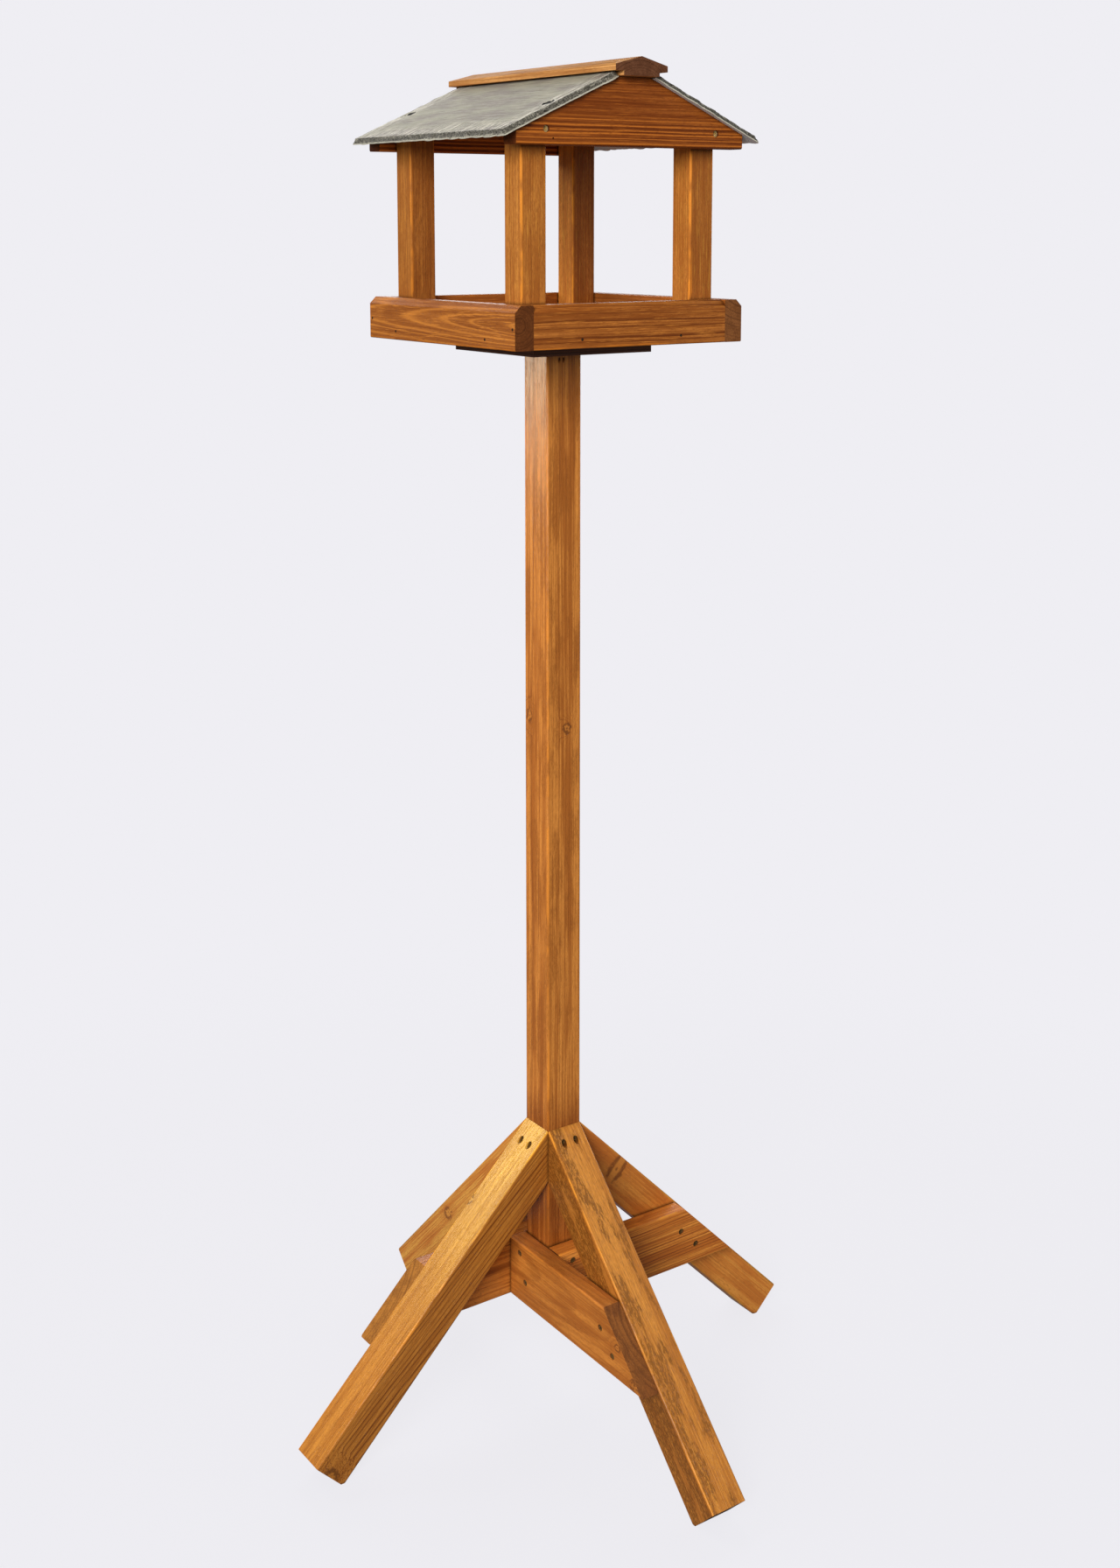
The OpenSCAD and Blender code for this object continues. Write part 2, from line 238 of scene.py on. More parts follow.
# Depth of the grain's relief, width of the eased edges, and reach of the weld that comes before them
GRAIN_RELIEF = 0.25 * MM
EASED_EDGE = 1.0 * MM
WELD_REACH = 0.01 * MM


def tint(colour, red, green, blue):
    """The colour with its channels scaled."""
    return (min(1.0, colour[0] * red), min(1.0, colour[1] * green), min(1.0, colour[2] * blue), 1)


def ring_count(p, source, seeded):
    """Growth rings from a leaning, wavy pith out to the point, of uneven width."""
    drift = p.vector("MULTIPLY", source["Lean"], p.spread(p.split(source["Point"])["X"]))
    from_pith = p.vector("SUBTRACT", p.vector("SUBTRACT", source["Point"], source["Pith"]), drift)
    radius = p.vector("LENGTH", p.vector("MULTIPLY", from_pith, (0, 1, 1)))
    slow = p.math("SUBTRACT", p.noise(seeded, (260, 55, 55), 1), 0.5)
    fast = p.math("SUBTRACT", p.noise(seeded, (70, 11, 11), 2), 0.5)
    sway = p.math("MULTIPLY_ADD", fast, 0.35, p.math("MULTIPLY", slow, 2.0))
    radius = p.math("MULTIPLY_ADD", sway, source["Wave"], radius)
    radius = p.math("ADD", radius, source["Swell"])
    count = p.math("DIVIDE", radius, source["Ring"])
    run = p.spread(p.math("MULTIPLY", count, 0.42))
    uneven = p.noise(p.vector("ADD", run, source["Seed"]), (1, 1, 1), 1)
    return p.math("MULTIPLY_ADD", uneven, 1.6, count)


def make_grain_group():
    """Growth rings and fibres of softwood. X is along the grain, and noise sizes are in mm."""
    tree = bpy.data.node_groups.new("softwood_grain", "ShaderNodeTree")
    inputs = {"Point": "Vector", "Seed": "Vector", "Pith": "Vector", "Lean": "Vector",
              "Ring": "Float", "Wave": "Float", "Swell": "Float", "Crisp": "Float"}
    for name, kind in inputs.items():
        tree.interface.new_socket(name, in_out="INPUT", socket_type="NodeSocket" + kind)
    p = Painter(tree)
    source = p.node("NodeGroupInput").outputs
    seeded = p.vector("ADD", source["Point"], source["Seed"])
    beside = p.vector("ADD", seeded, (7, 31, 77))
    count = ring_count(p, source, seeded)
    part = p.math("FRACT", count)
    year = p.math("FLOOR", count)
    dense = p.node("ShaderNodeTexWhiteNoise", {"W": year}, noise_dimensions="1D").outputs[0]
    streak = p.noise(seeded, (130, 1.3, 1.3), 3, 0.65)
    line = p.math("MULTIPLY", p.ramp(part, source["Crisp"], 0.9), p.ramp(part, 0.92, 1.0, 1.0, 0.0))
    late = p.math("MULTIPLY", line, p.ramp(dense, 0.0, 1.0, 0.35, 1.0))
    bands = p.noise(seeded, (420, 9, 9), 2)
    cloud = p.noise(seeded, (70, 16, 16), 3)
    body = p.math("MULTIPLY_ADD", bands, 0.35, p.math("MULTIPLY", streak, 0.45))
    results = {
        "Late": p.math("MULTIPLY", late, p.ramp(streak, 0.35, 0.55, 0.75, 1.0)),
        "Early": p.math("MULTIPLY", p.ramp(part, 0.08, 0.22), p.ramp(part, 0.25, 0.5, 1.0, 0.0)),
        "Body": p.ramp(p.math("MULTIPLY_ADD", cloud, 0.2, body), 0.43, 0.57),
        "Streak": streak,
        "Fleck": p.ramp(p.noise(seeded, (7, 0.8, 0.8), 1), 0.58, 0.72),
        "Dash": p.ramp(p.noise(beside, (34, 0.9, 0.9), 2, 0.6), 0.56, 0.70),
        "Cloud": cloud,
        "Mottle": p.ramp(p.noise(seeded, (6, 1.8, 1.8), 3, 0.75), 0.36, 0.64),
    }
    for name in results:
        tree.interface.new_socket(name, in_out="OUTPUT", socket_type="NodeSocketFloat")
    sink = p.node("NodeGroupOutput").inputs
    for name, value in results.items():
        p.feed(sink[name], value)
    return tree


GRAIN = make_grain_group()


def knot_masks(p, point, centre, size, flat, half):
    """How near a knot is, and masks of its heart and of its dark border. A flat knot is two dark arcs."""
    across = abs(centre.y) / half[0] < abs(centre.z) / half[1]
    scale = (flat, 1, 0) if across else (flat, 0, 1)
    side = (0, 0, math.copysign(1, centre.z)) if across else (0, math.copysign(1, centre.y), 0)
    ragged, start = (0.6, 0.2) if flat > 1 else (1.3, 0.45)
    here = p.ramp(p.vector("DOT_PRODUCT", point, side), 0, 8)
    away = p.vector("LENGTH", p.vector("MULTIPLY", p.vector("SUBTRACT", point, centre), scale))
    rough = p.math("SUBTRACT", p.noise(point, (3, 3, 3), 2), 0.5)
    away = p.math("MULTIPLY_ADD", rough, ragged * size, away)

    def inside(low, high, most=1.0):
        return p.ramp(away, low * size, high * size, most, 0.0)

    ring = p.math("MULTIPLY", p.ramp(away, start * size, 0.75 * size), inside(0.95, 1.35))
    ring = p.math("MULTIPLY", ring, p.ramp(p.noise(point, (5, 5, 5), 1), 0.3, 0.46))
    if flat > 1:
        lengthways = p.math("ABSOLUTE", p.math("SUBTRACT", p.split(point)["X"], centre.x))
        ring = p.math("MULTIPLY", ring, p.ramp(lengthways, 0.2 * size, 0.4 * size))
    border = p.math("MAXIMUM", ring, inside(0.05, 0.25, 0.8))
    return [p.math("MULTIPLY", mask, here) for mask in (inside(0.4, 3.4), inside(0.8, 1.0), border)]


class BoardPainter(Painter):
    """Paints a board in layers over its own grain, in mm in the board's own frame."""

    def begin(self, node, tone, location, turn, half, pith, look):
        """Lays out the grain. half holds the board's half sizes across the grain."""
        self.look = look
        self.half = half
        self.turn = turn
        self.tone = tint(TONES[tone], look.shade, look.shade, look.shade)
        self.shades = {name: tint(self.tone, *scale) for name, scale in SHADES.items()}
        self.point = local_point(self, location, turn)
        self.along, self.y, self.z = self.split(self.point)
        self.from_y = self.math("SUBTRACT", self.math("ABSOLUTE", self.y), half[0])
        self.from_z = self.math("SUBTRACT", self.math("ABSOLUTE", self.z), half[1])
        self.side = self.ramp(self.math("SUBTRACT", self.from_y, self.from_z), -1.5, 1.5)
        swell = self.find_knots(location)
        seed = SEED_STEP * (1 + sorted(NODES).index(node))
        settings = {"Point": self.point, "Seed": (seed, 0.61 * seed, 0.37 * seed), "Pith": (0, *pith),
                    "Lean": (0, *look.lean), "Ring": look.ring, "Wave": look.wave, "Swell": swell,
                    "Crisp": look.crisp}
        self.grain = self.node("ShaderNodeGroup", settings, node_tree=GRAIN).outputs
        self.colour = self.mix(self.grain["Body"], self.shades["light"], self.shades["dark"])

    def find_knots(self, location):
        """Sets the masks of all the knots. Returns how far they swell the rings."""
        to_local = Euler(self.turn).to_matrix().inverted()
        self.around = self.heart = self.border = swell = 0.0
        for place, size, flat in self.look.knots:
            centre = to_local @ (Vector(place) * MM - Vector(location)) / MM
            near, heart, border = knot_masks(self, self.point, centre, size, flat, self.half)
            swell = self.math("MULTIPLY_ADD", near, 2.2 * size, swell)
            self.around = self.math("MAXIMUM", near, self.around)
            self.heart = self.math("MAXIMUM", heart, self.heart)
            self.border = self.math("MAXIMUM", border, self.border)
        return swell

    def cover(self, mask, colour, strength=1.0):
        """Lays a colour, or the board's shade of that name, over what is painted so far."""
        if isinstance(colour, str):
            colour = self.shades[colour]
        if strength != 1.0:
            mask = self.math("MULTIPLY", mask, strength)
        self.colour = self.mix(mask, self.colour, colour)

    def scale(self, mask, red, green, blue):
        """Multiplies what is painted so far."""
        self.colour = self.mix(mask, self.colour, (red, green, blue, 1), "MULTIPLY")

    def paint_stains(self):
        """Even stain, small blotches, and wide brown or olive patches."""
        look, grain = self.look, self.grain
        self.cover(look.plain, self.tone)
        self.cover(grain["Mottle"], "dark", look.mottled)
        self.cover(self.ramp(grain["Cloud"], 0.44, 0.6, 0.0, look.cloudy), "cloud")
        leaning = self.math("MULTIPLY_ADD", self.y, look.olive_lean / self.half[0], grain["Cloud"])
        speckled = self.ramp(grain["Mottle"], 0.2, 0.7, 0.25, 1.0)
        stain = self.math("MULTIPLY", self.ramp(leaning, 0.48, 0.56), speckled)
        self.cover(stain, "olive", look.olive)

    def paint_rings(self):
        """Dark late wood, glowing early wood, dashes and flecks."""
        look, grain = self.look, self.grain
        side_lines = look.lines if look.side_lines is None else look.side_lines
        lines = self.math("MULTIPLY_ADD", self.side, side_lines - look.lines, look.lines)
        lines = self.math("MULTIPLY_ADD", self.around, 0.3, lines)
        top, bottom = -0.05 * self.half[1], -0.4 * self.half[1]
        if look.glow_low:
            lines = self.math("MULTIPLY", lines, self.ramp(self.z, top, bottom, 0.45, 1.0))
        self.cover(self.math("MULTIPLY", lines, grain["Late"]), "deep")
        glowing = self.math("ADD", self.ramp(self.z, top, bottom, 0.0, look.glow_low), look.bright)
        self.cover(self.math("MULTIPLY", grain["Early"], glowing), "glow")
        self.cover(grain["Dash"], "glow", look.dashes)
        self.cover(grain["Fleck"], "deep", look.flecks)

    def paint_edges(self):
        """Edges where the stain is rubbed through, painted also as a highlight along the arris, inside a
        slightly darker band.
        """
        wear = self.look.wear
        nearest = self.math("MINIMUM", self.from_y, self.from_z)
        frayed = self.math("SUBTRACT", self.grain["Streak"], 0.5)
        edge = self.math("MULTIPLY_ADD", frayed, 7.0, nearest)
        self.cover(self.ramp(edge, -5.5, -3.0, 0.0, 0.4 * wear), "dark")
        wide = 2.4 * max(1.0, wear)
        patchy = self.ramp(self.noise(self.point, (38, 14, 14), 2), 0.42, 0.58, 0.15, 1.0)
        worn_edge_highlight = self.math("MULTIPLY", self.ramp(edge, -wide, -wide / 2), min(1.0, wear))
        self.cover(self.math("MULTIPLY", worn_edge_highlight, patchy), "worn_edge_highlight")

    def paint_knots(self):
        """Darker wood round each knot, its streaked heart and its dark border."""
        self.cover(self.around, "dark", 0.35)
        heartwood = self.mix(self.grain["Streak"], self.shades["light"], self.shades["dark"])
        self.cover(self.heart, heartwood, 0.7)
        self.cover(self.border, "border", 0.85)

    def paint_hole_shade(self):
        """Painted shade on the walls of the screw holes, which are all deeper than the outer faces."""
        deepest = self.math("MAXIMUM", self.from_y, self.from_z)
        self.cover(self.ramp(deepest, -2.4, -1.0, self.look.holes, 0.0), "shade_black")

    def paint_ends(self):
        """End grain, in a tint of its own. Returns its mask."""
        normal = self.node("ShaderNodeTexCoord").outputs["Normal"]
        grain_axis = Euler(self.turn).to_matrix() @ Vector((1, 0, 0))
        square = self.math("ABSOLUTE", self.vector("DOT_PRODUCT", normal, grain_axis))
        end = self.ramp(square, 0.5, 0.68)
        tone = tint(self.tone, *self.look.end_tint)
        colour = self.mix(self.grain["Body"], tint(tone, 1.15, 1.15, 1.15), tint(tone, 0.8, 0.76, 0.74))
        late = self.math("MULTIPLY", self.grain["Late"], 0.7)
        self.cover(end, self.mix(late, colour, tint(tone, 0.45, 0.4, 0.4)))
        return end

    def paint_stretches(self):
        """Painted light and shade: brightness of the faces across local Y, painted shade along a stretch
        of the board, and a painted highlight at its start.
        """
        look = self.look
        self.scale(self.side, look.sides, look.sides ** 1.25, look.sides ** 1.25)
        # Painted shade along a stretch of the board
        if look.dark_below is not None:
            low = self.ramp(self.along, look.dark_below - 40, look.dark_below + 20, look.gloom, 0.0)
            self.scale(low, 0.62, 0.52, 0.45)
        # Painted highlight near the start of the board
        if look.pale_to:
            top_face = self.math("SUBTRACT", 1.0, self.side)
            painted_highlight = self.math("MULTIPLY", self.ramp(self.along, 0, look.pale_to, 0.9, 0.0), top_face)
            self.scale(painted_highlight, 1.42, 2.0, 2.1)

    def paint_seam_shade(self):
        """Painted shade: dark lines where the board meets another, from an ambient occlusion node."""
        inputs = {"Distance": SEAM_SHADE_REACH}
        open_sky = self.node("ShaderNodeAmbientOcclusion", inputs, samples=6).outputs["AO"]
        self.cover(self.ramp(open_sky, 0.4, 0.95, 0.75, 0.0), "shade_black")

    def relief_height(self):
        """Height of the rings, fibres and blotches, with flecks sunk in."""
        grain = self.grain
        height = self.math("MULTIPLY_ADD", grain["Late"], 0.5, self.math("MULTIPLY", grain["Streak"], 0.8))
        height = self.math("MULTIPLY_ADD", grain["Fleck"], -0.4, height)
        return self.math("MULTIPLY_ADD", grain["Mottle"], 0.25, height)


def paint_wood(node, tone, location, turn, half, pith, **changes):
    """Gives a board, leg or post its own wood. changes are to USUAL_WOOD."""
    look = SimpleNamespace(**{**USUAL_WOOD, **changes})
    material, p, shader = new_material(node + "_wood", painter=BoardPainter)
    p.begin(node, tone, location, turn, half, pith, look)
    p.paint_stains()
    p.paint_rings()
    p.paint_edges()
    p.paint_knots()
    p.paint_hole_shade()
    end = p.paint_ends()
    p.paint_stretches()
    p.paint_seam_shade()
    p.feed(shader.inputs["Base Color"], p.colour)
    rough = p.math("MULTIPLY_ADD", p.grain["Streak"], 0.12, look.smooth)
    p.feed(shader.inputs["Roughness"], p.math("MULTIPLY_ADD", end, 0.25, rough))
    shader.inputs["Specular IOR Level"].default_value = look.gloss
    relief(p, shader, p.relief_height(), GRAIN_RELIEF)
    wear_edges(NODES[node])
    NODES[node].material_slots[0].material = material


def wear_edges(obj, width=EASED_EDGE):
    """Takes the sharp edges off a sawn piece, whose flat faces are first made whole."""
    weld = obj.modifiers.new("weld", "WELD")
    weld.merge_threshold = WELD_REACH
    flat = obj.modifiers.new("flat_faces", "DECIMATE")
    flat.decimate_type = "DISSOLVE"
    flat.angle_limit = math.radians(1)
    bevel = obj.modifiers.new("eased_edges", "BEVEL")
    bevel.width = width
    bevel.segments = 2
    bevel.limit_method = "ANGLE"
    bevel.angle_limit = math.radians(40)


# Turns that lay local X along the grain
ALONG = {"x": (0, 0, 0), "y": (0, 0, math.pi / 2), "z": (0, -math.pi / 2, 0)}


def board(node, grain):
    """Centre, turn and half sizes across the grain of a board whose faces are square to the axes."""
    low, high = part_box(node)
    turn = ALONG[grain]
    half = (Euler(turn).to_matrix().inverted() @ ((high - low) / 2)) / MM
    return {"location": (low + high) / 2, "turn": turn, "half": (abs(half.y), abs(half.z))}


def leg(side):
    """The same for a leg, whose origin is at its upper end. Local Z is square to its upper face."""
    low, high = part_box("leg_right")
    half = (high.y - low.y) / 2
    turn = (0, LEG_ANGLE, math.radians(SIDES[side]))
    top = Euler((0, 0, turn[2])).to_matrix() @ Vector((low.x, 0, high.z))
    location = top + Euler(turn).to_matrix() @ Vector((0, 0, -half))
    return {"location": location, "turn": turn, "half": (half / MM, half / MM)}


# Finish of the boards of the tray and house, which is duller than the stand's
HOUSE_FINISH = {"gloss": 0.1, "smooth": 0.42}


def paint_board(node, tone, grain, pith, **changes):
    """Wood of a board that is square to the axes, with its grain along the named one."""
    paint_wood(node, tone, **board(node, grain), pith=pith, **changes)


def paint_leg(side, tone, pith, **changes):
    """Wood of one leg."""
    paint_wood("leg_" + side, tone, **leg(side), pith=pith, **changes)


def paint_stand():
    """Pole, legs and braces. Places of knots are in the row frame, in mm."""
    paint_board("pole", "pole", "z", pith=(30, -60), crisp=0.4, olive=0.28, flecks=0.3, smooth=0.2,
                cloudy=0.2, dark_below=-300, knots=[((-22, 13, 795), 4.5, 0.6), ((3.7, -22, 784), 5, 0.9)])

    paint_leg("left", "leg", pith=(50, -60), lean=(0, 0.08), ring=4.6, lines=0.3, side_lines=1.4,
              plain=0.35, crisp=0.5, wear=1.1, sides=0.84, pale_to=330, holes=0.9,
              knots=[((-98, 21, 247), 4, 0.7), ((-303, -22, 12), 10, 1.0)])
    paint_leg("front", "leg", pith=(60, -30), ring=3.2, lines=0.3, flecks=0.5, olive=0.9,
              olive_lean=-0.11, plain=0.3, wear=0.8, sides=0.72, shade=1.2, holes=0.9, mottled=0.4)
    paint_leg("right", "pole", pith=(-20, 60), ring=3.6, lines=0.25, shade=1.5, plain=0.4, cloudy=0.5,
              dark_below=200, gloom=0.45, knots=[((74, -22, 252), 15, 1.5)])
    paint_leg("back", "pole", pith=(14, -24), lean=(0.03, 0.06), ring=3.2, shade=1.6,
              knots=[((-22, 194, 131), 7, 0.8)])

    paint_board("brace_front", "brace", "y", pith=(-30, 12), lean=(0.1, 0.02), ring=6, lines=0.35,
                crisp=0.3, shade=1.1, sides=1.2, plain=0.3, smooth=0.4, holes=0.9, cloudy=0.35,
                end_tint=(0.42, 0.4, 0.44), knots=[((-44, -183, 152), 4, 0.8), ((-44, -219, 122), 9, 0.8)])
    paint_board("brace_right", "brace", "x", pith=(0, -70), lean=(0, 0.03), ring=3.8, lines=1.3,
                crisp=0.45, shade=1.7, holes=0.9)
    paint_board("brace_back", "brace", "y", pith=(40, 30), holes=0.9)
    paint_board("brace_left", "brace", "x", pith=(60, -20), ring=4.4, lines=1.0, shade=1.1, holes=0.9,
                end_tint=(0.8, 0.93, 0.85))


def paint_tray():
    """Rim boards and floor."""
    paint_board("rim_left", "rim", "y", pith=(-1, 4), lean=(-0.05, 0.01), ring=3.6, lines=0.3,
                bright=0.55, crisp=0.4, plain=0.45, dashes=0.8, wear=0.9, **HOUSE_FINISH)
    paint_board("rim_front", "rim", "x", pith=(34, 74), ring=6.4, wave=4, lines=1.3, crisp=0.35,
                dashes=0.6, shade=1.04, wear=0.9, **HOUSE_FINISH)
    paint_board("rim_right", "rim", "y", pith=(-20, 60), ring=3.6, dashes=0.3, end_tint=(0.6, 0.7, 1.2),
                **HOUSE_FINISH)
    paint_board("rim_back", "rim", "x", pith=(10, -50), dashes=0.3, **HOUSE_FINISH)
    paint_board("tray_floor", "rim", "x", pith=(20, -60), ring=4.2, wave=6, wear=0.1, **HOUSE_FINISH)


def paint_house():
    """Posts, gables and ridge cap."""
    # Pith, brightness, and painted light and shade of the left and right faces
    posts = {"front_left": ((30, 50), 1.14, 0.92), "front_right": ((-40, 28), 1.28, 0.75),
             "back_left": ((22, -44), 1.0, 0.68), "back_right": ((-30, -40), 1.5, 0.5)}
    for corner, (pith, shade, sides) in posts.items():
        paint_board("post_" + corner, "post", "z", pith=pith, lines=0.5, wear=1.1, dashes=0.4,
                    mottled=0.6, plain=0.35, cloudy=0.25, shade=shade, sides=sides, **HOUSE_FINISH)

    for side, pith in (("front", (-10, -130)), ("back", (10, 110))):
        paint_board("gable_" + side, "gable", "x", pith=pith, ring=4.6, wave=2, crisp=0.5, lines=1.4,
                    glow_low=1.5, wear=0.2, dashes=0.5, holes=0.9, **HOUSE_FINISH)
    paint_board("ridge_cap", "cap", "y", pith=(4, -40), ring=3.0, lines=0.5, wear=0.2, gloss=0.02,
                smooth=0.6, end_tint=(0.24, 0.21, 0.34))


# Plies of the plate under the tray
PLIES = 7


def paint_plywood():
    """Thin plies of the plate between pole and tray, with the outer ply showing on its faces."""
    low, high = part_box("mounting_plate")
    material, p, shader = new_material("mounting_plate_plywood")
    point = local_point(p, (low + high) / 2, (0, 0, 0))
    ply = p.math("MULTIPLY", p.split(point)["Z"], PLIES / ((high.z - low.z) / MM))
    turn = p.math("SUBTRACT", p.math("FRACT", p.math("MULTIPLY", ply, 0.5)), 0.5)
    crossing = p.ramp(p.math("ABSOLUTE", turn), 0.22, 0.28)
    fibre = p.noise(point, (1.2, 40, 1.2), 3, 0.6)
    colour = p.mix(fibre, srgb(118, 68, 34), srgb(74, 40, 22))
    colour = p.mix(p.math("MULTIPLY", crossing, 0.6), colour, srgb(58, 30, 18))
    p.feed(shader.inputs["Base Color"], colour)
    p.feed(shader.inputs["Roughness"], p.math("MULTIPLY_ADD", fibre, 0.2, 0.5))
    relief(p, shader, p.math("ADD", fibre, crossing), 0.3 * MM)
    wear_edges(NODES["mounting_plate"], 0.5 * MM)
    NODES["mounting_plate"].material_slots[0].material = material


# ---- Fasteners ----

def plated_material(name, bright, dull, metallic, roughness):
    """Plated or bare metal with faint tarnish."""
    material, p, shader = new_material(name)
    point = local_point(p, (0, 0, 0), (0, 0, 0))
    tarnish = p.noise(point, (1.5, 1.5, 1.5), 3, 0.6)
    p.feed(shader.inputs["Base Color"], p.mix(p.ramp(tarnish, 0.35, 0.7), bright, dull))
    shader.inputs["Metallic"].default_value = metallic
    p.feed(shader.inputs["Roughness"], p.math("MULTIPLY_ADD", tarnish, 0.3, roughness))
    relief(p, shader, tarnish, 0.04 * MM)
    return material


def paint_fasteners():
    """Plating for each node of screws, nails or pins."""
    zinc = plated_material("yellow_zinc_plating", srgb(246, 224, 160), srgb(206, 172, 108), 0.6, 0.25)
    # Near black: tarnish, and painted shade of the hollow in the slate that each screw sits in
    tarnish_and_shade = plated_material("zinc_tarnish_and_painted_shade", srgb(34, 30, 26), srgb(18, 16, 14), 0.0, 0.7)
    aged = plated_material("aged_zinc", srgb(150, 118, 66), srgb(56, 42, 26), 0.5, 0.4)
    steel = plated_material("nail_wire", srgb(80, 62, 46), srgb(40, 28, 20), 0.8, 0.4)
    plating = {"slate_screws": tarnish_and_shade, "leg_screws": aged, "brace_pole_screws": aged,
               "brace_leg_screws": aged}
    for node, obj in NODES.items():
        if node.endswith("screws"):
            obj.material_slots[0].material = plating.get(node, zinc)
        if node.endswith(("nails", "pins")):
            obj.material_slots[0].material = steel


# ---- Slates ----

# The slates' grid in mm: its finest and coarsest spacing, and how near an edge or a screw it is fine
SLATE_FINE = 0.8
SLATE_COARSE = 1.9
CHIP_BAND = 12
SCREW_BAND = 9

# Dressed edge in mm: its usual width and depth, the thickness of one layer, and the deepest chip
EDGE_WIDTH = 4.8
EDGE_DEPTH = 4.8
LAYER = 1.2
DEEPEST_CHIP = 5.0

# Screws in mm: the head, how far down the slope it is, and the hollow broken out round it
SCREW_HEAD = 7
SCREW_DOWN = 77.3
CRATER_RADIUS = 6.0
CRATER_DEPTH = 3.6

# The most of the slate's thickness that chips, hollows and its rough top may take away, in mm
DEEPEST = 5.2


def wander(across, down, size, seed):
    """Smooth noise from -1 to 1."""
    return noise.noise(Vector((across / size, down / size, seed)))


def steps(length, spots):
    """Places from 0 to length, closer together near both ends and near the given spots."""
    places = [0.0]
    while places[-1] < length - SLATE_FINE:
        here = places[-1]
        near_end = min(here, length - here) < CHIP_BAND
        near_screw = min(abs(here - spot) for spot in spots) < SCREW_BAND
        places.append(here + (SLATE_FINE if near_end or near_screw else SLATE_COARSE))
    places[-1] = length
    return places


def chip_depth(inward, along, seed):
    """Depth of the dressed edge, which breaks away in thin layers towards the outline."""
    width = EDGE_WIDTH + 2.6 * wander(along, 0, 13, seed) + 1.6 * wander(along, 0, 4, seed + 7)
    share = max(0.0, 1 - inward / max(width, 2.0))
    depth = EDGE_DEPTH * share ** 0.6 * (1 + 0.3 * wander(along, inward, 5, seed + 11))
    ledge = LAYER * math.floor(depth / LAYER + 0.5 + 0.5 * wander(along, inward, 7, seed + 13))
    return min(DEEPEST_CHIP, max(0.0, 0.25 * depth + 0.75 * ledge))


def outline_inset(along, seed):
    """How far the broken outline stays inside the slab."""
    scallop = abs(wander(along, 0, 22, seed))
    return 2.6 - 2.6 * min(1.0, 2.2 * scallop) + 0.4 * (1 + wander(along, 0, 3.5, seed + 5))


def crater_depth(down, across, spots, seed):
    """Depth of the hollows round the two screws, which have ragged outlines."""
    deepest = 0.0
    for side in (-1, 1):
        away = Vector((down - spots[0], across - side * spots[1]))
        reach = away.length * (1 + 0.35 * wander(away.x, away.y, 5, seed + side))
        share = min(1.0, max(0.0, (CRATER_RADIUS + 0.5 - reach) / 2.2))
        deepest = max(deepest, CRATER_DEPTH * share)
    return deepest


def slab_faces(rows, columns):
    """Faces of a slab: a grid of points on top, the same grid below, and the four sides."""
    under = rows * columns
    faces = []
    for row in range(rows - 1):
        for column in range(columns - 1):
            a = row * columns + column
            faces.append((a, a + columns, a + columns + 1, a + 1))
            faces.append((under + a, under + a + 1, under + a + columns + 1, under + a + columns))
    last = (rows - 1) * columns
    for column in range(columns - 1):
        faces.append((column, column + 1, under + column + 1, under + column))
        a = last + column
        faces.append((a, under + a, under + a + 1, a + 1))
    for row in range(rows - 1):
        a, b = row * columns, (row + 1) * columns
        faces.append((a, under + a, under + b, b))
        a, b = a + columns - 1, b + columns - 1
        faces.append((a, b, under + b, under + a))
    return faces


def slate_mesh(name, width, length, spots, seed):
    """Riven slate in its own frame in mm: X down the slope, Y along the ridge, Z from its underside.

    spots says how far down the slope the two screws are, and how far to either side of the middle.
    """
    thick = SLATE_THICKNESS / MM
    downs = steps(width, [spots[0]])
    across_spots = [length / 2 - spots[1], length / 2 + spots[1]]
    acrosses = [place - length / 2 for place in steps(length, across_spots)]

    def inward(down, across):
        return width - down, length / 2 - across, length / 2 + across

    def shift(distance, amount):
        share = min(1.0, distance / 16)
        return amount * (1 - share) ** 2

    def at(down, across, height):
        eave, right, left = inward(down, across)
        x = down - shift(eave, outline_inset(across, seed + 1))
        from_right = shift(right, outline_inset(down, seed + 2))
        from_left = shift(left, outline_inset(down, seed + 3))
        return (x, across - from_right + from_left, height)

    def top(down, across):
        eave, right, left = inward(down, across)
        chips = max(chip_depth(eave, across, seed + 20), chip_depth(right, down, seed + 30),
                    chip_depth(left, down, seed + 40))
        riven = 0.25 + 0.2 * wander(across, down, 45, seed) + 0.1 * wander(across / 3, down, 6, seed + 50)
        return thick - min(DEEPEST, max(chips, crater_depth(down, across, spots, seed)) + riven)

    grid = [(down, across) for down in downs for across in acrosses]
    vertices = [at(down, across, top(down, across)) for down, across in grid]
    vertices += [at(down, across, 0.0) for down, across in grid]
    faces = slab_faces(len(downs), len(acrosses))
    mesh = bpy.data.meshes.new(name)
    mesh.from_pydata(vertices, [], faces)
    mesh.polygons.foreach_set("use_smooth", [True] * len(faces))
    mesh.set_sharp_from_angle(angle=math.radians(38))
    return mesh


def slope_place(node):
    """Matrix from a slate's own frame, in mm, to the row frame."""
    low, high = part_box(node)
    side = 1 if high.x > 0 else -1
    start = min(abs(low.x), abs(high.x))
    origin = Vector((start, 0, high.z - SLATE_THICKNESS * math.cos(ROOF_PITCH)))
    turn = Matrix.Rotation(0 if side > 0 else math.pi, 4, "Z")
    return turn @ Matrix.Translation(origin) @ Matrix.Rotation(ROOF_PITCH, 4, "Y") @ Matrix.Scale(MM, 4)


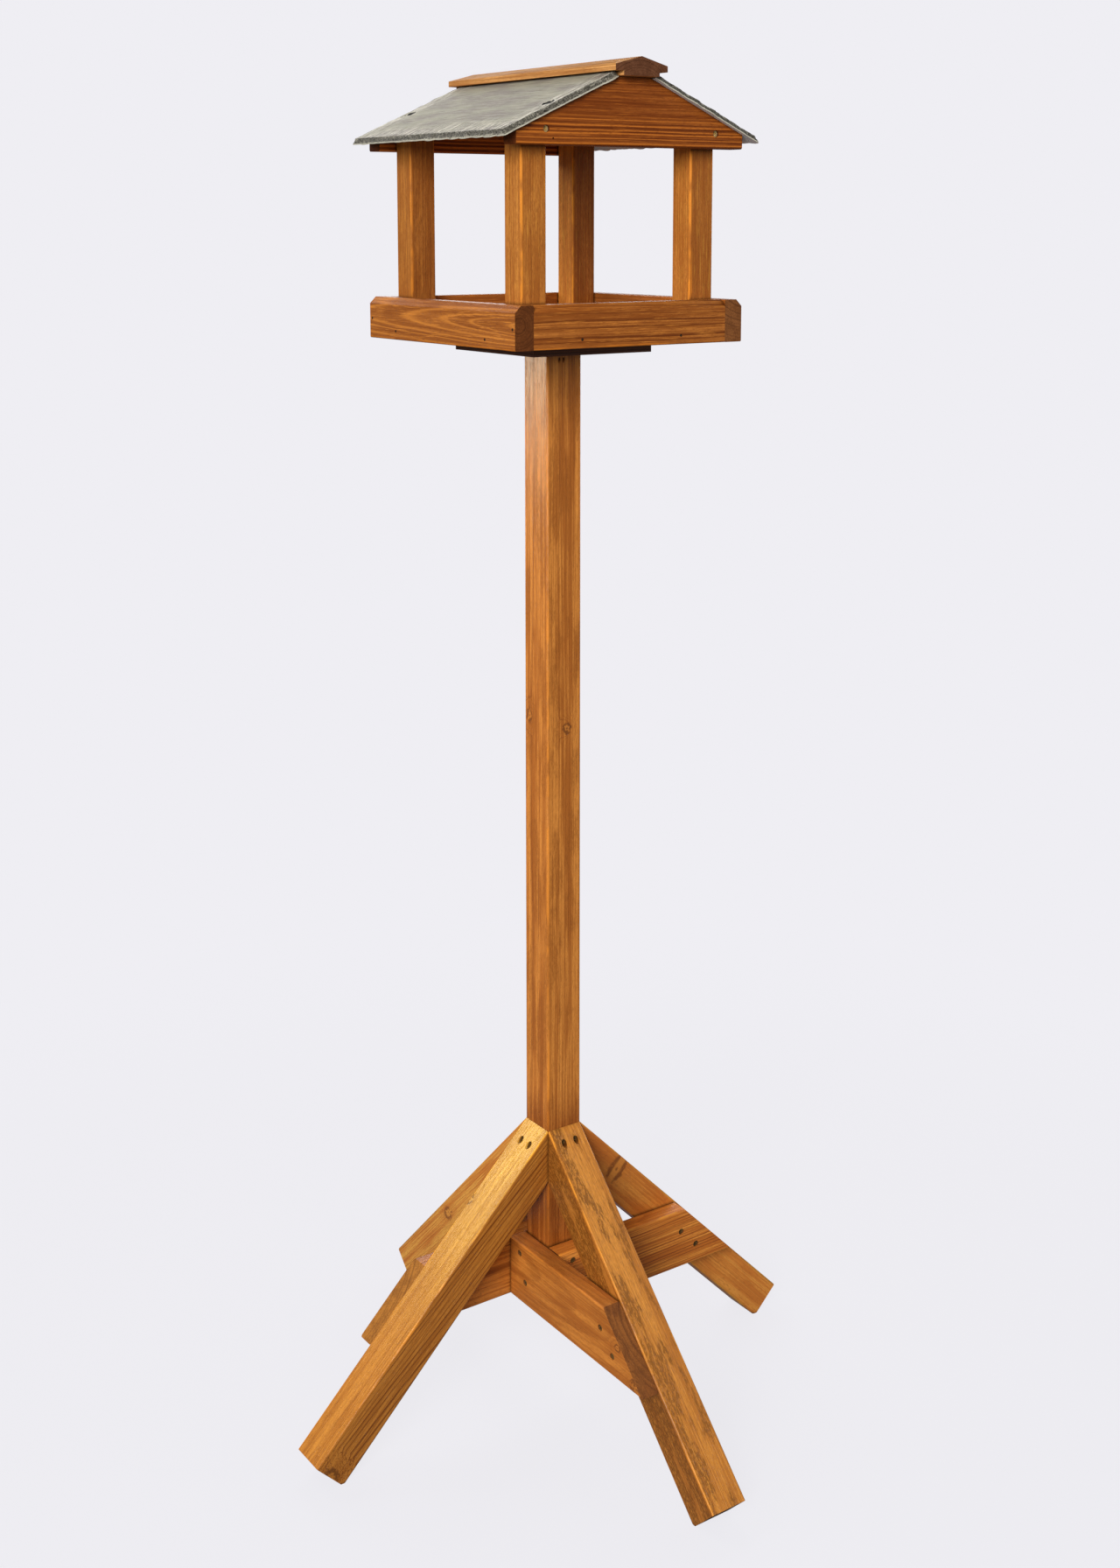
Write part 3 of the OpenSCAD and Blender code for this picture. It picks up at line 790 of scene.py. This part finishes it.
def bed_colour(p, moved):
    """Grey stone with cloudy patches and with pale and dark streaks along the bed."""
    cloud = p.noise(moved, (20, 70, 8), 3)
    streak = p.noise(moved, (1.5, 26, 2), 3, 0.65)
    colour = p.mix(p.ramp(cloud, 0.35, 0.65), srgb(166, 160, 138), srgb(144, 134, 122))
    colour = p.mix(p.ramp(streak, 0.52, 0.68, 0.0, 0.7), colour, srgb(192, 184, 162))
    return p.mix(p.ramp(streak, 0.47, 0.33, 0.0, 0.7), colour, srgb(104, 99, 88)), streak


def edge_colour(p, colour, point, moved, inward, facing, grit):
    """Scratches, freshly broken layers and specks near the outline, painted shadow under the ledges, and
    the foot of the edge painted pale as light from the floor.
    """
    scratch = p.ramp(p.noise(moved, (18, 1.5, 2), 2, 0.6), 0.52, 0.6)
    colour = p.mix(p.math("MULTIPLY", scratch, p.ramp(inward, 45, 10)), colour, srgb(240, 234, 216))
    broken = p.mix(p.ramp(grit, 0.42, 0.6), srgb(58, 55, 48), srgb(178, 172, 154))
    colour = p.mix(p.math("MULTIPLY", p.ramp(facing, 0.98, 0.8), 0.85), colour, broken)
    wavy = p.noise(moved, (6, 6, 6), 3, 0.65)
    from_shadowed_ledge = p.math("ABSOLUTE", p.math("SUBTRACT", inward, p.math("MULTIPLY", wavy, 9)))
    # Painted shadow under the ledge of each broken layer
    ledge = p.math("MULTIPLY", p.ramp(from_shadowed_ledge, 2.2, 0.9), p.ramp(grit, 0.36, 0.52, 1.0, 0.55))
    colour = p.mix(ledge, colour, srgb(44, 40, 33))
    speck = p.ramp(p.noise(moved, (2, 2, 2), 2, 0.7), 0.54, 0.62)
    colour = p.mix(p.math("MULTIPLY", speck, p.ramp(inward, 9, 5)), colour, srgb(36, 32, 26))
    # Painted light: the foot of the edge is pale, as if lit from the floor below
    foot_highlight = p.ramp(p.split(point)["Z"], 1.7, 0.7)
    return p.mix(p.math("MULTIPLY", foot_highlight, p.ramp(inward, 5, 3)), colour, srgb(204, 198, 178))


def crater_colour(p, colour, point, spots):
    """Painted shade in the hollows, with bruised, pale borders."""
    hollow_shade = rim = 0.0
    for side in (-1, 1):
        from_screw = p.vector("SUBTRACT", point, (spots[0], side * spots[1], 0))
        away = p.vector("LENGTH", p.vector("MULTIPLY", from_screw, (1, 1, 0)))
        hollow_shade = p.math("MAXIMUM", hollow_shade, p.ramp(away, CRATER_RADIUS + 1, CRATER_RADIUS + 0.2))
        rim = p.math("MAXIMUM", rim, p.ramp(away, CRATER_RADIUS + 3.5, CRATER_RADIUS + 1, 0.0, 0.6))
    return p.mix(hollow_shade, p.mix(rim, colour, srgb(214, 208, 190)), srgb(30, 27, 23))


def slate_material(name, place, seed, width, length, spots):
    """Grey slate with streaks along the bed, broken edges and a hollow round each screw, with painted
    shade in the hollows and under the ledges and painted light on the undersides.
    """
    material, p, shader = new_material(name)
    point = local_point(p, place.translation, place.to_euler())
    moved = p.vector("ADD", point, (seed, 0.7 * seed, 0.3 * seed))
    grit = p.noise(moved, (0.9, 1.6, 0.6), 3, 0.7)
    down, across = p.split(point)["X"], p.math("ABSOLUTE", p.split(point)["Y"])
    inward = p.math("MINIMUM", p.math("SUBTRACT", width, down), p.math("SUBTRACT", length / 2, across))
    normal = p.node("ShaderNodeTexCoord").outputs["Normal"]
    up = (place.to_3x3() @ Vector((0, 0, 1))).normalized()
    facing = p.vector("DOT_PRODUCT", normal, up)
    colour, streak = bed_colour(p, moved)
    colour = edge_colour(p, colour, point, moved, inward, facing, grit)
    # Painted light: faces that look down are pale, as if lit from the floor
    colour = p.mix(p.ramp(facing, -0.4, -0.8), colour, srgb(214, 212, 210))
    p.feed(shader.inputs["Base Color"], crater_colour(p, colour, point, spots))
    p.feed(shader.inputs["Roughness"], p.math("MULTIPLY_ADD", grit, 0.25, 0.5))
    shader.inputs["Specular IOR Level"].default_value = 0.3
    relief(p, shader, p.math("MULTIPLY_ADD", grit, 0.5, streak), 0.35 * MM)
    return material


def make_slates():
    """The two riven slates, which stand for the flat slabs of the CAD."""
    last_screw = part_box("slate_screws")[1].y / MM - SCREW_HEAD / 2
    spots = (SCREW_DOWN, last_screw)
    for number, node in enumerate(("slate_left", "slate_right")):
        place = slope_place(node)
        low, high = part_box(node)
        rise = SLATE_THICKNESS * math.sin(ROOF_PITCH)
        width = ((high.x - low.x) - rise) / math.cos(ROOF_PITCH) / MM
        length = (high.y - low.y) / MM
        mesh = slate_mesh(node + "_riven", width, length, spots, 10.0 + 60 * number)
        mesh.transform(place)
        stone = slate_material(node + "_stone", place, 31.0 * (1 + number), width, length, spots)
        mesh.materials.append(stone)
        slate = bpy.data.objects.new(node + "_riven", mesh)
        bpy.context.scene.collection.objects.link(slate)
        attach(slate, "root")
        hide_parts(node)


# ---- Studio ----

def direction(azimuth, elevation):
    """Unit vector from the object towards a viewer; azimuth 0 is the front and 90 the right."""
    a, e = math.radians(azimuth), math.radians(elevation)
    return Vector((math.sin(a) * math.cos(e), -math.cos(a) * math.cos(e), math.sin(e)))


def make_camera():
    """The camera, which looks at the object from the front left."""
    data = bpy.data.cameras.new("camera")
    data.lens = CAMERA_LENS
    data.sensor_width = CAMERA_SENSOR
    data.shift_y = CAMERA_SHIFT
    camera = bpy.data.objects.new("camera", data)
    back = direction(CAMERA_AZIMUTH, CAMERA_ELEVATION)
    camera.location = CAMERA_TARGET + back * CAMERA_DISTANCE
    camera.rotation_euler = back.to_track_quat("Z", "Y").to_euler()
    bpy.context.scene.collection.objects.link(camera)
    bpy.context.scene.camera = camera


def softbox(name, azimuth, elevation, distance, size, power, colour=(1, 1, 1), height=0.9):
    """Soft light that faces the pole at a height. size is its width and its own height, in metres."""
    data = bpy.data.lights.new(name, "AREA")
    data.shape = "RECTANGLE"
    data.size, data.size_y = size
    data.energy = power
    data.color = colour
    light = bpy.data.objects.new(name, data)
    towards = direction(azimuth, elevation)
    light.location = Vector((0, 0, height)) + towards * distance
    light.rotation_euler = towards.to_track_quat("Z", "Y").to_euler()
    light.visible_camera = False
    bpy.context.scene.collection.objects.link(light)
    return light


def make_world():
    """Faint, even light from all round."""
    world = bpy.data.worlds.new("studio")
    world.use_nodes = True
    background = world.node_tree.nodes["Background"]
    background.inputs["Color"].default_value = COOL
    background.inputs["Strength"].default_value = SKY_STRENGTH
    bpy.context.scene.world = world


def plain_glow(name):
    """Pale emission that looks the same from everywhere. Returns the material, painter and shader."""
    material, p, glow = new_material(name, shader="ShaderNodeEmission")
    glow.inputs["Color"].default_value = PALE
    return material, p, glow


def disc_mesh(name, radius, rings, sectors):
    """Flat round mesh at the origin."""
    vertices = [(0, 0, 0)]
    faces = []
    for ring in range(1, rings + 1):
        reach = radius * ring / rings
        for sector in range(sectors):
            angle = 2 * math.pi * sector / sectors
            vertices.append((reach * math.cos(angle), reach * math.sin(angle), 0))
    for sector in range(sectors):
        after = (sector + 1) % sectors
        faces.append((0, 1 + sector, 1 + after))
        for ring in range(rings - 1):
            inner, outer = 1 + ring * sectors, 1 + (ring + 1) * sectors
            faces.append((inner + sector, outer + sector, outer + after, inner + after))
    mesh = bpy.data.meshes.new(name)
    mesh.from_pydata(vertices, [], faces)
    return mesh


def make_floor():
    """Round pale floor that takes a faint shadow and fades into the backdrop."""
    mesh = disc_mesh("floor", FLOOR_RADIUS, rings=12, sectors=96)
    floor = bpy.data.objects.new("floor", mesh)
    material, p, glow = plain_glow("pale_floor")
    paper = p.node("ShaderNodeBsdfDiffuse", {"Color": PAPER}).outputs[0]
    reach = p.vector("LENGTH", p.node("ShaderNodeTexCoord").outputs["Object"])
    share = p.ramp(reach, 0.5 * FLOOR_RADIUS, FLOOR_RADIUS, FLOOR_SHADOW, 0.0)
    p.finish_with(p.node("ShaderNodeMixShader", {0: share, 1: glow.outputs[0], 2: paper}))
    mesh.materials.append(material)
    bpy.context.scene.collection.objects.link(floor)
    floor.visible_diffuse = False
    floor.visible_glossy = False


def make_backdrop():
    """Pale surround behind everything, which only the camera sees."""
    bpy.ops.mesh.primitive_uv_sphere_add(segments=48, ring_count=24, radius=BACKDROP_RADIUS)
    backdrop = bpy.context.object
    backdrop.name = "backdrop"
    backdrop.data.materials.append(plain_glow("pale_backdrop")[0])
    for ray in ("diffuse", "glossy", "transmission", "volume_scatter", "shadow"):
        setattr(backdrop, "visible_" + ray, False)


def make_studio():
    """World, floor, backdrop and lights, one of which shines on the glossy pieces only."""
    make_world()
    make_floor()
    make_backdrop()
    softbox("key", -48, 25, 5.0, (2.2, 2.2), 225, height=0.5)
    softbox("low_front", -60, 0, 1.4, (0.8, 0.5), 1.5, height=0.3)
    softbox("fill", 65, 20, 3.0, (1.6, 1.6), 10)
    sheen = softbox("sheen", -146, 0, 1.4, (0.5, 0.2), 7, colour=WARM, height=1.1)
    softbox("back_left", -150, 35, 2.6, (1.2, 0.8), 16)
    softbox("back_right", 155, 28, 2.8, (1.4, 1.4), 28)
    softbox("right", 112, 8, 3.0, (1.4, 1.6), 22)
    glossy = bpy.data.collections.new("glossy_pieces")
    for node in ("pole", "leg_left", "leg_front"):
        glossy.objects.link(NODES[node])
    sheen.light_linking.receiver_collection = glossy
    scene = bpy.context.scene
    scene.view_settings.view_transform = "Standard"
    scene.view_settings.look = "None"


make_camera()
make_studio()
paint_stand()
paint_tray()
paint_house()
paint_plywood()
paint_fasteners()
make_slates()
